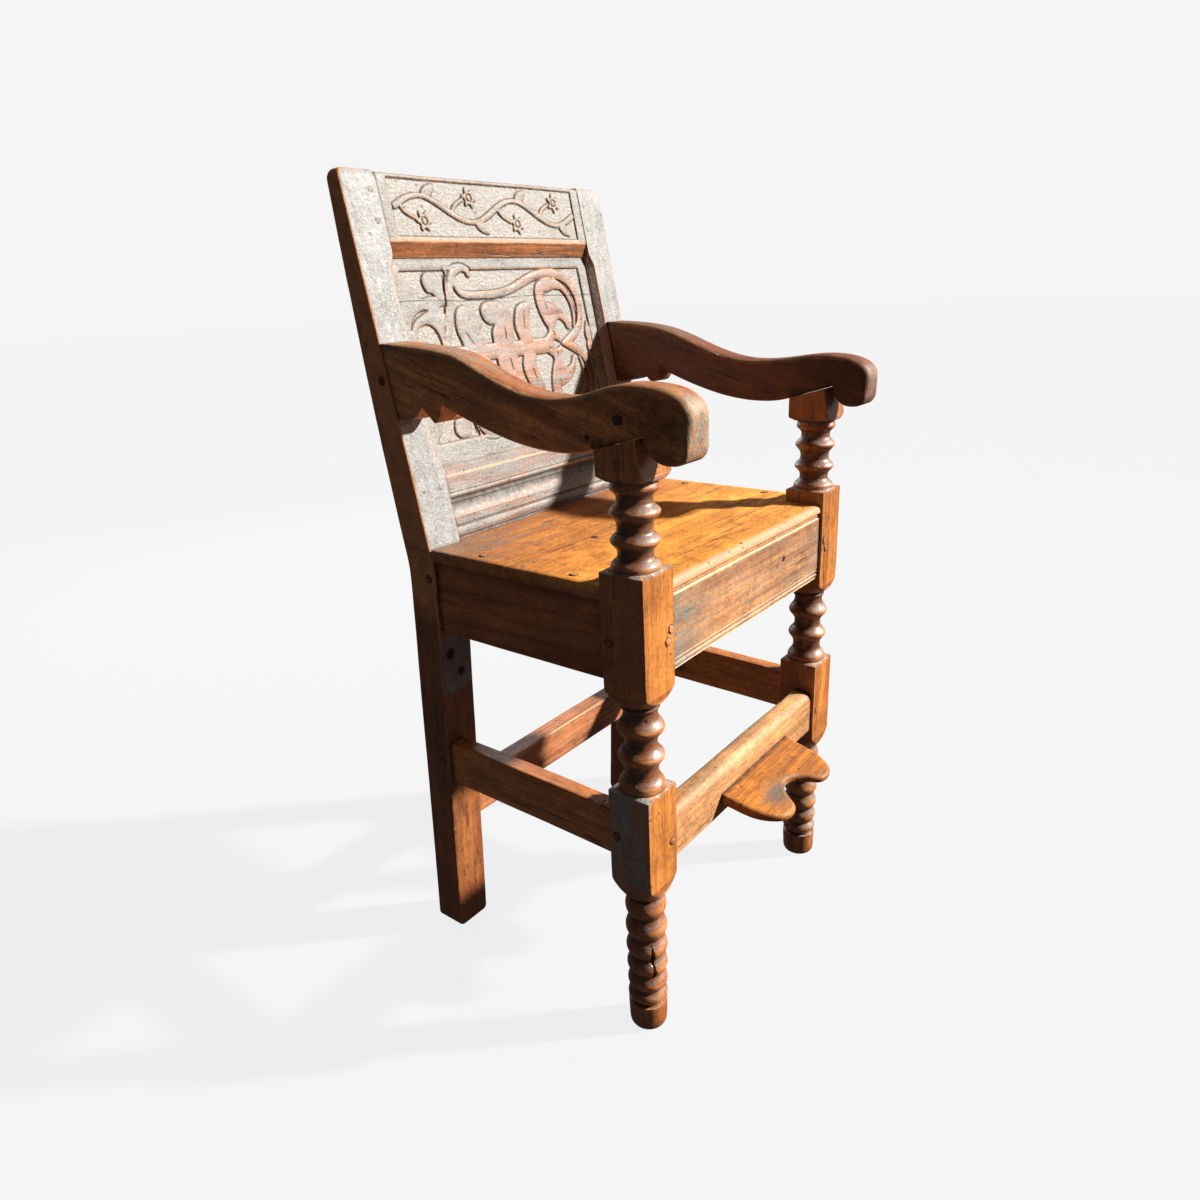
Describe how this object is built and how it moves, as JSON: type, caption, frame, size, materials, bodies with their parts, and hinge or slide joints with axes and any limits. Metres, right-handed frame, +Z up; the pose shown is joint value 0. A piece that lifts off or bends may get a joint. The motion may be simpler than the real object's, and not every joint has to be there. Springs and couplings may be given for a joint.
{
  "type": "child's joined high chair",
  "caption": "Joined oak high chair for a child at table: carved raked panel back, swept arms, ring-turned front posts, board seat, stretchers and a lobed footrest, pegged throughout",
  "frame": {"origin": "on the floor, under the middle of the bounding box in X and Y", "axes": "+Z up, -Y is the way the chair faces, +X is the sitter's left"},
  "size_m": [0.4656, 0.4838, 0.965],
  "materials": {
    "dark_waxed_oak": "old oak, dark brown wax polish",
    "warm_waxed_oak": "old oak, warm orange-brown wax polish, worn edges",
    "dry_grey_oak": "old oak, dry silvery grey surface over brown, carved",
    "peg_oak": "dark oak peg ends"
  },
  "bodies": {
    "root": {"front_post_left": "warm_waxed_oak", "back_post_left": "dark_waxed_oak", "side_seat_rail_left": "dark_waxed_oak", "side_stretcher_left": "dark_waxed_oak", "arm_left": "dark_waxed_oak", "front_post_right": "warm_waxed_oak", "back_post_right": "dark_waxed_oak", "side_seat_rail_right": "dark_waxed_oak", "side_stretcher_right": "dark_waxed_oak", "arm_right": "dark_waxed_oak", "front_seat_rail": "warm_waxed_oak", "front_stretcher": "warm_waxed_oak", "back_stretcher": "warm_waxed_oak", "seat_board": "warm_waxed_oak", "footrest": "warm_waxed_oak", "back_seat_rail": "dark_waxed_oak", "crest_rail": "dry_grey_oak", "lower_back_rail": "dry_grey_oak", "back_panel": "dry_grey_oak", "side_rail_front_peg_left": "peg_oak", "side_rail_front_peg_right": "peg_oak", "side_rail_back_peg_left": "peg_oak", "side_rail_back_peg_right": "peg_oak", "side_stretcher_front_peg_left": "peg_oak", "side_stretcher_front_peg_right": "peg_oak", "side_stretcher_back_peg_left": "peg_oak", "side_stretcher_back_peg_right": "peg_oak", "front_rail_upper_peg_left": "peg_oak", "front_rail_upper_peg_right": "peg_oak", "front_rail_lower_peg_left": "peg_oak", "front_rail_lower_peg_right": "peg_oak", "front_stretcher_peg_left": "peg_oak", "front_stretcher_peg_right": "peg_oak", "back_rail_peg_left": "peg_oak", "back_rail_peg_right": "peg_oak", "back_stretcher_peg_left": "peg_oak", "back_stretcher_peg_right": "peg_oak", "arm_front_peg_left": "peg_oak", "arm_front_peg_right": "peg_oak", "arm_back_peg_left": "peg_oak", "arm_back_peg_right": "peg_oak", "crest_upper_peg_left": "peg_oak", "crest_upper_peg_right": "peg_oak", "crest_lower_peg_left": "peg_oak", "crest_lower_peg_right": "peg_oak", "lower_rail_peg_left": "peg_oak", "lower_rail_peg_right": "peg_oak", "seat_front_peg_left": "peg_oak", "seat_front_peg_right": "peg_oak", "seat_back_peg_left": "peg_oak", "seat_back_peg_right": "peg_oak"}
  },
  "joints": []
}
